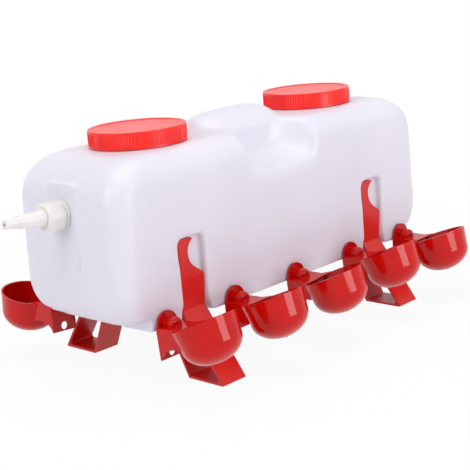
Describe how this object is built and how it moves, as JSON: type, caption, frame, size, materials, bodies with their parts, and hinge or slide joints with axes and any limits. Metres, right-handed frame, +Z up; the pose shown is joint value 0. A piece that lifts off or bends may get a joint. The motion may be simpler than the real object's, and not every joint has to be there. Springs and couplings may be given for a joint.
{
  "type": "automatic poultry drinker",
  "caption": "Automatic poultry drinker: hollow tank on clip-on legs, screw lids, carrying handle, hose inlet with a float valve, and a row of small drinking cups along each side.",
  "frame": {"origin": "on the ground, under the middle of the whole outline with the inlet nozzle counted in", "axes": "+X runs along the tank away from the water inlet, -Y faces the near row of cups, +Z up"},
  "size_m": [0.5432, 0.3374, 0.2458],
  "materials": {
    "white_polyethylene": "blow moulded, satin",
    "red_lid_polypropylene": "injection moulded, satin gloss",
    "red_cup_polypropylene": "injection moulded, gloss",
    "red_leg_polypropylene": "injection moulded, satin gloss",
    "white_inlet_nylon": "injection moulded",
    "white_valve_acetal": "injection moulded",
    "blue_grey_float_polypropylene": "injection moulded",
    "white_nut_polypropylene": "injection moulded",
    "black_rubber": "moulded rubber",
    "stainless_pin": "drawn wire"
  },
  "bodies": {
    "drinker": {"arm_pin": "stainless_pin", "cup_far_1": "red_cup_polypropylene", "cup_far_2": "red_cup_polypropylene", "cup_far_3": "red_cup_polypropylene", "cup_far_4": "red_cup_polypropylene", "cup_far_5": "red_cup_polypropylene", "cup_gasket_far_1": "black_rubber", "cup_gasket_far_2": "black_rubber", "cup_gasket_far_3": "black_rubber", "cup_gasket_far_4": "black_rubber", "cup_gasket_far_5": "black_rubber", "cup_gasket_near_1": "black_rubber", "cup_gasket_near_2": "black_rubber", "cup_gasket_near_3": "black_rubber", "cup_gasket_near_4": "black_rubber", "cup_gasket_near_5": "black_rubber", "cup_near_1": "red_cup_polypropylene", "cup_near_2": "red_cup_polypropylene", "cup_near_3": "red_cup_polypropylene", "cup_near_4": "red_cup_polypropylene", "cup_near_5": "red_cup_polypropylene", "cup_nut_far_1": "white_nut_polypropylene", "cup_nut_far_2": "white_nut_polypropylene", "cup_nut_far_3": "white_nut_polypropylene", "cup_nut_far_4": "white_nut_polypropylene", "cup_nut_far_5": "white_nut_polypropylene", "cup_nut_near_1": "white_nut_polypropylene", "cup_nut_near_2": "white_nut_polypropylene", "cup_nut_near_3": "white_nut_polypropylene", "cup_nut_near_4": "white_nut_polypropylene", "cup_nut_near_5": "white_nut_polypropylene", "float_valve_body": "white_valve_acetal", "inlet_lock_ring": "white_inlet_nylon", "leg_far_left": "red_leg_polypropylene", "leg_far_right": "red_leg_polypropylene", "leg_near_left": "red_leg_polypropylene", "leg_near_right": "red_leg_polypropylene", "tank": "white_polyethylene", "valve_gasket": "black_rubber"},
    "seal_left": {"lid_seal_left": "black_rubber"},
    "cap_left": {"lid_left": "red_lid_polypropylene"},
    "seal_right": {"lid_seal_right": "black_rubber"},
    "cap_right": {"lid_right": "red_lid_polypropylene"},
    "nozzle": {"inlet_nozzle": "white_inlet_nylon", "hose_washer": "black_rubber"},
    "union_nut": {"inlet_union_nut": "white_inlet_nylon"},
    "arm": {"float_arm": "white_valve_acetal", "float_bell": "blue_grey_float_polypropylene"},
    "plunger": {"valve_plunger": "white_valve_acetal", "valve_seal": "black_rubber"}
  },
  "joints": [
    {"name": "lid_left_rise", "type": "slide", "parent": "drinker", "child": "seal_left", "axis": [0, 0, 1], "range_m": [0, 0.009]},
    {"name": "lid_left_turn", "type": "hinge", "parent": "seal_left", "child": "cap_left", "pos_m": [-0.09894, -0.00017, 0.2288], "axis": [0, 0, 1], "range_deg": [0, 540]},
    {"name": "lid_right_rise", "type": "slide", "parent": "drinker", "child": "seal_right", "axis": [0, 0, 1], "range_m": [0, 0.009]},
    {"name": "lid_right_turn", "type": "hinge", "parent": "seal_right", "child": "cap_right", "pos_m": [0.16406, -0.00017, 0.2288], "axis": [0, 0, 1], "range_deg": [0, 540]},
    {"name": "nozzle_draw", "type": "slide", "parent": "drinker", "child": "nozzle", "axis": [-0.9976, 0, 0.0698], "range_m": [0, 0.00726]},
    {"name": "union_nut_turn", "type": "hinge", "parent": "nozzle", "child": "union_nut", "pos_m": [-0.20493, -0.00017, 0.177], "axis": [-0.9976, 0, 0.0698], "range_deg": [0, 1440]},
    {"name": "arm_swing", "type": "hinge", "parent": "drinker", "child": "arm", "pos_m": [-0.16781, -0.00017, 0.16639], "axis": [0, -1, 0], "range_deg": [0, 30]},
    {"name": "plunger_slide", "type": "slide", "parent": "drinker", "child": "plunger", "axis": [-0.9976, 0, 0.0698], "range_m": [0, 0.00415]}
  ],
  "couplings": [
    {"joint": "lid_left_rise", "follows": "lid_left_turn", "m_per_rad": 0.0009549},
    {"joint": "lid_right_rise", "follows": "lid_right_turn", "m_per_rad": 0.0009549},
    {"joint": "nozzle_draw", "follows": "union_nut_turn", "m_per_rad": 0.0002887},
    {"joint": "plunger_slide", "follows": "arm_swing", "m_per_rad": 0.0079}
  ]
}
